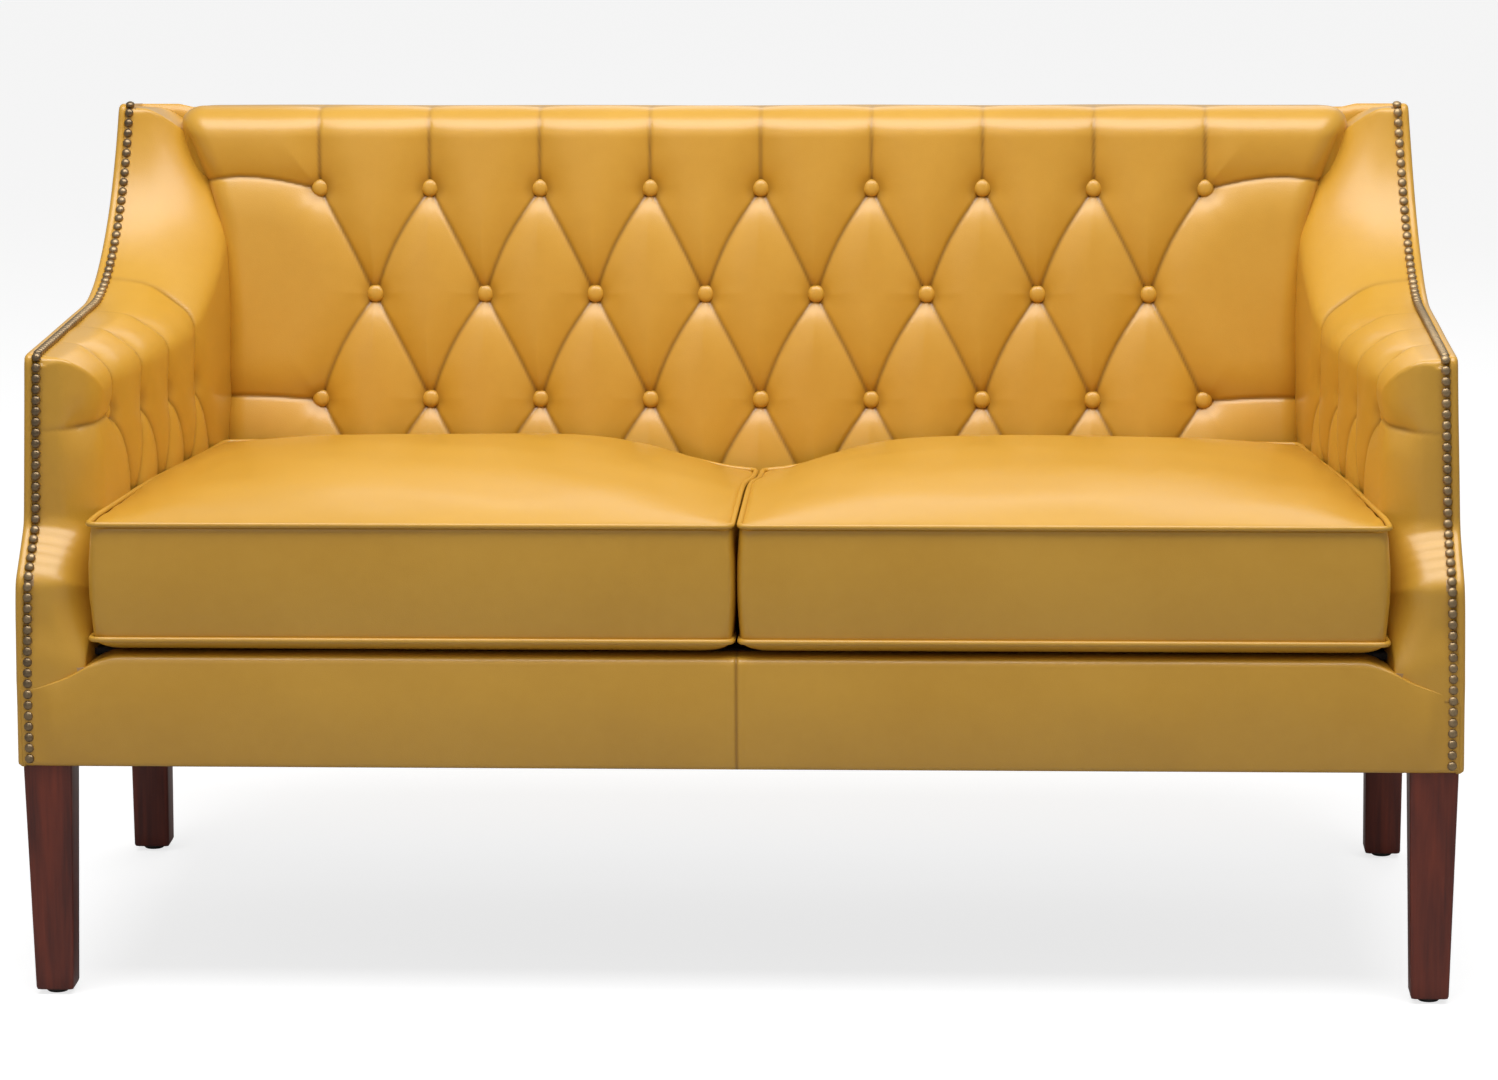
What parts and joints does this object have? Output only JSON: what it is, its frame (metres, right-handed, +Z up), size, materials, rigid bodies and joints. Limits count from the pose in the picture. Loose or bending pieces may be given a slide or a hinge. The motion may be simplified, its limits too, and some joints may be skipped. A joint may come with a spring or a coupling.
{
  "type": "two-seat sofa",
  "caption": "Button-back leather sofa with swept wing arms, nailhead edges, loose box seat cushions and tapered wooden legs.",
  "frame": {"origin": "on the floor, under the middle of the sofa's box", "axes": "+X across the sofa to the right of a person facing it, +Y from the front to the back, +Z up"},
  "size_m": [1.449, 0.7324, 0.844],
  "materials": {
    "timber": "matte",
    "leg_wood": "satin",
    "steel": "satin",
    "glide_plastic": "matte",
    "jute": "matte",
    "foam": "matte",
    "black_cloth": "matte",
    "leather": "satin",
    "nail_brass": "satin",
    "zip_tape": "matte",
    "zip_metal": "satin"
  },
  "bodies": {
    "sofa_frame": {"front_rail": "timber", "back_rail": "timber", "side_rail_left": "timber", "side_rail_right": "timber", "seat_stretchers": "timber", "corner_blocks": "timber", "arm_panel_left": "timber", "arm_panel_right": "timber", "arm_post_left": "timber", "arm_post_right": "timber", "arm_rails_left": "timber", "arm_rails_right": "timber", "back_posts": "timber", "back_top_rail": "timber", "back_tack_rail": "timber", "back_uprights": "timber", "twine_toggles": "timber", "leg_front_left": "leg_wood", "leg_front_right": "leg_wood", "leg_rear_left": "leg_wood", "leg_rear_right": "leg_wood", "leg_bolts": "steel", "leg_nuts": "steel", "seat_springs": "steel", "spring_clips": "steel", "spring_tie_wires": "steel", "leg_glides": "glide_plastic", "back_webbing": "jute", "arm_webbing": "jute", "button_twines": "jute", "seat_deck_pad": "foam", "front_edge_roll": "foam", "back_foam": "foam", "arm_foam_left": "foam", "arm_foam_right": "foam", "seat_deck_cloth": "black_cloth", "dust_cover": "black_cloth", "inside_back_cover": "leather", "outside_back_cover": "leather", "inside_arm_cover_left": "leather", "inside_arm_cover_right": "leather", "outside_arm_cover_left": "leather", "outside_arm_cover_right": "leather", "front_border": "leather", "back_buttons": "leather", "arm_buttons": "leather", "nail_trim_left": "nail_brass", "nail_trim_right": "nail_brass"},
    "cushion_left": {"cushion_core_left": "foam", "cushion_cover_left": "leather", "cushion_welts_left": "leather", "zip_left": "zip_tape"},
    "cushion_right": {"cushion_core_right": "foam", "cushion_cover_right": "leather", "cushion_welts_right": "leather", "zip_right": "zip_tape"},
    "zip_slider_left": {"zip_slider_left": "zip_metal"},
    "zip_slider_right": {"zip_slider_right": "zip_metal"}
  },
  "joints": [
    {"name": "cushion_left_lift", "type": "slide", "parent": "sofa_frame", "child": "cushion_left", "axis": [0, 0, 1], "range_m": [0, 0.55]},
    {"name": "cushion_right_lift", "type": "slide", "parent": "sofa_frame", "child": "cushion_right", "axis": [0, 0, 1], "range_m": [0, 0.55]},
    {"name": "zip_left_run", "type": "slide", "parent": "cushion_left", "child": "zip_slider_left", "axis": [-1, 0, 0], "range_m": [0, 0.44]},
    {"name": "zip_right_run", "type": "slide", "parent": "cushion_right", "child": "zip_slider_right", "axis": [1, 0, 0], "range_m": [0, 0.44]}
  ]
}
